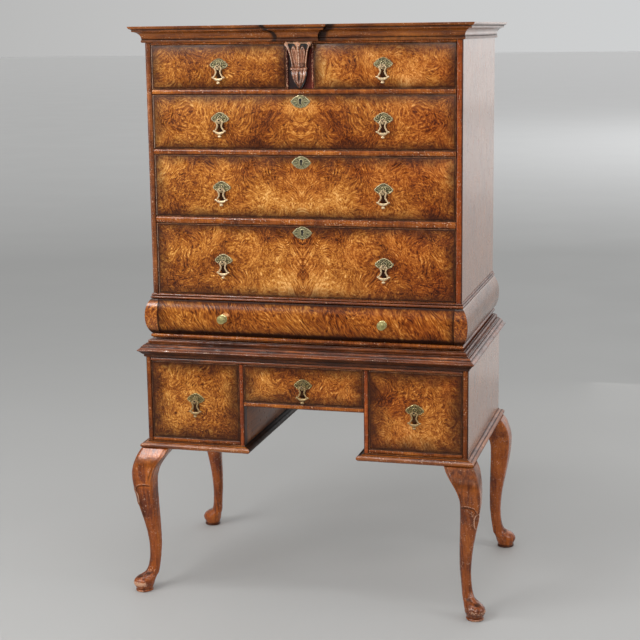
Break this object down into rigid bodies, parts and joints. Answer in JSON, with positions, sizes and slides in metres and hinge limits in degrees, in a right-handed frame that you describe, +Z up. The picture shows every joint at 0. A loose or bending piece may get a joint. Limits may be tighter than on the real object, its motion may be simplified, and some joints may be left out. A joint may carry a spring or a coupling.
{
  "type": "highboy chest of drawers on stand",
  "caption": "Burr walnut chest with short, long and cushion-fronted drawers under a broken cornice, on a kneehole stand with cabriole legs; drawers slide and brass drop pulls swing.",
  "frame": {"origin": "middle of the footprint, on the floor under the four feet", "axes": "+Z up, the drawers face -Y, +X to the right seen from the front"},
  "size_m": [0.9168, 0.5976, 1.4326],
  "materials": {
    "burr_walnut_drawer": "gloss",
    "walnut_frame": "gloss",
    "walnut_moulding": "gloss",
    "walnut_panel": "gloss",
    "walnut_leg": "gloss",
    "oak_inner": "matte",
    "aged_brass": "aged"
  },
  "bodies": {
    "carcass": {"upper_side_left": "walnut_panel", "upper_side_right": "walnut_panel", "stand_side_left": "walnut_panel", "stand_side_right": "walnut_panel", "kneehole_frame": "walnut_panel", "upper_back_board": "oak_inner", "upper_top_board": "oak_inner", "stand_back_board": "oak_inner", "cornice_moulding": "walnut_moulding", "carved_corbel": "walnut_moulding", "divider_rail_4": "walnut_moulding", "upper_base_frame": "walnut_moulding", "stand_top_moulding": "walnut_moulding", "short_drawer_partition": "walnut_frame", "divider_rail_1": "walnut_frame", "divider_rail_2": "walnut_frame", "divider_rail_3": "walnut_frame", "stand_top_rail": "walnut_frame", "pedestal_base_left": "walnut_frame", "pedestal_base_right": "walnut_frame", "leg_front_left": "walnut_leg", "leg_front_right": "walnut_leg", "leg_back_left": "walnut_leg", "leg_back_right": "walnut_leg"},
    "drawer_top_left": {"drawer_top_left": "burr_walnut_drawer", "pull_plate_top_left": "aged_brass"},
    "drawer_top_right": {"drawer_top_right": "burr_walnut_drawer", "pull_plate_top_right": "aged_brass"},
    "drawer_long_1": {"drawer_long_1": "burr_walnut_drawer", "pull_plate_long_1_left": "aged_brass", "pull_plate_long_1_right": "aged_brass", "key_plate_1": "aged_brass"},
    "drawer_long_2": {"drawer_long_2": "burr_walnut_drawer", "pull_plate_long_2_left": "aged_brass", "pull_plate_long_2_right": "aged_brass", "key_plate_2": "aged_brass"},
    "drawer_long_3": {"drawer_long_3": "burr_walnut_drawer", "pull_plate_long_3_left": "aged_brass", "pull_plate_long_3_right": "aged_brass", "key_plate_3": "aged_brass"},
    "drawer_cushion": {"drawer_cushion": "burr_walnut_drawer", "knob_left": "aged_brass", "knob_right": "aged_brass"},
    "drawer_stand_left": {"drawer_stand_left": "burr_walnut_drawer", "pull_plate_stand_left": "aged_brass"},
    "drawer_stand_centre": {"drawer_stand_centre": "burr_walnut_drawer", "pull_plate_stand_centre": "aged_brass"},
    "drawer_stand_right": {"drawer_stand_right": "burr_walnut_drawer", "pull_plate_stand_right": "aged_brass"},
    "pull_drop_top_left": {"pull_drop_top_left": "aged_brass"},
    "pull_drop_top_right": {"pull_drop_top_right": "aged_brass"},
    "pull_drop_long_1_left": {"pull_drop_long_1_left": "aged_brass"},
    "pull_drop_long_1_right": {"pull_drop_long_1_right": "aged_brass"},
    "pull_drop_long_2_left": {"pull_drop_long_2_left": "aged_brass"},
    "pull_drop_long_2_right": {"pull_drop_long_2_right": "aged_brass"},
    "pull_drop_long_3_left": {"pull_drop_long_3_left": "aged_brass"},
    "pull_drop_long_3_right": {"pull_drop_long_3_right": "aged_brass"},
    "pull_drop_stand_left": {"pull_drop_stand_left": "aged_brass"},
    "pull_drop_stand_right": {"pull_drop_stand_right": "aged_brass"},
    "pull_drop_stand_centre": {"pull_drop_stand_centre": "aged_brass"}
  },
  "joints": [
    {"name": "drawer_top_left_slide", "type": "slide", "parent": "carcass", "child": "drawer_top_left", "axis": [0, -1, 0], "range_m": [0, 0.34]},
    {"name": "drawer_top_right_slide", "type": "slide", "parent": "carcass", "child": "drawer_top_right", "axis": [0, -1, 0], "range_m": [0, 0.34]},
    {"name": "drawer_long_1_slide", "type": "slide", "parent": "carcass", "child": "drawer_long_1", "axis": [0, -1, 0], "range_m": [0, 0.34]},
    {"name": "drawer_long_2_slide", "type": "slide", "parent": "carcass", "child": "drawer_long_2", "axis": [0, -1, 0], "range_m": [0, 0.34]},
    {"name": "drawer_long_3_slide", "type": "slide", "parent": "carcass", "child": "drawer_long_3", "axis": [0, -1, 0], "range_m": [0, 0.34]},
    {"name": "drawer_cushion_slide", "type": "slide", "parent": "carcass", "child": "drawer_cushion", "axis": [0, -1, 0], "range_m": [0, 0.34]},
    {"name": "drawer_stand_left_slide", "type": "slide", "parent": "carcass", "child": "drawer_stand_left", "axis": [0, -1, 0], "range_m": [0, 0.34]},
    {"name": "drawer_stand_centre_slide", "type": "slide", "parent": "carcass", "child": "drawer_stand_centre", "axis": [0, -1, 0], "range_m": [0, 0.34]},
    {"name": "drawer_stand_right_slide", "type": "slide", "parent": "carcass", "child": "drawer_stand_right", "axis": [0, -1, 0], "range_m": [0, 0.34]},
    {"name": "pull_top_left_swing", "type": "hinge", "parent": "drawer_top_left", "child": "pull_drop_top_left", "pos_m": [-0.202, -0.25091, 1.3355], "axis": [-1, 0, 0], "range_deg": [0, 95]},
    {"name": "pull_top_right_swing", "type": "hinge", "parent": "drawer_top_right", "child": "pull_drop_top_right", "pos_m": [0.202, -0.25091, 1.3355], "axis": [-1, 0, 0], "range_deg": [0, 95]},
    {"name": "pull_long_1_left_swing", "type": "hinge", "parent": "drawer_long_1", "child": "pull_drop_long_1_left", "pos_m": [-0.202, -0.25091, 1.2075], "axis": [-1, 0, 0], "range_deg": [0, 95]},
    {"name": "pull_long_1_right_swing", "type": "hinge", "parent": "drawer_long_1", "child": "pull_drop_long_1_right", "pos_m": [0.202, -0.25091, 1.2075], "axis": [-1, 0, 0], "range_deg": [0, 95]},
    {"name": "pull_long_2_left_swing", "type": "hinge", "parent": "drawer_long_2", "child": "pull_drop_long_2_left", "pos_m": [-0.202, -0.25091, 1.041], "axis": [-1, 0, 0], "range_deg": [0, 95]},
    {"name": "pull_long_2_right_swing", "type": "hinge", "parent": "drawer_long_2", "child": "pull_drop_long_2_right", "pos_m": [0.202, -0.25091, 1.041], "axis": [-1, 0, 0], "range_deg": [0, 95]},
    {"name": "pull_long_3_left_swing", "type": "hinge", "parent": "drawer_long_3", "child": "pull_drop_long_3_left", "pos_m": [-0.202, -0.25091, 0.8618], "axis": [-1, 0, 0], "range_deg": [0, 95]},
    {"name": "pull_long_3_right_swing", "type": "hinge", "parent": "drawer_long_3", "child": "pull_drop_long_3_right", "pos_m": [0.202, -0.25091, 0.8618], "axis": [-1, 0, 0], "range_deg": [0, 95]},
    {"name": "pull_stand_left_swing", "type": "hinge", "parent": "drawer_stand_left", "child": "pull_drop_stand_left", "pos_m": [-0.2796, -0.26691, 0.5095], "axis": [-1, 0, 0], "range_deg": [0, 95]},
    {"name": "pull_stand_right_swing", "type": "hinge", "parent": "drawer_stand_right", "child": "pull_drop_stand_right", "pos_m": [0.2796, -0.26691, 0.5095], "axis": [-1, 0, 0], "range_deg": [0, 95]},
    {"name": "pull_stand_centre_swing", "type": "hinge", "parent": "drawer_stand_centre", "child": "pull_drop_stand_centre", "pos_m": [0, -0.26691, 0.5585], "axis": [-1, 0, 0], "range_deg": [0, 95]}
  ]
}
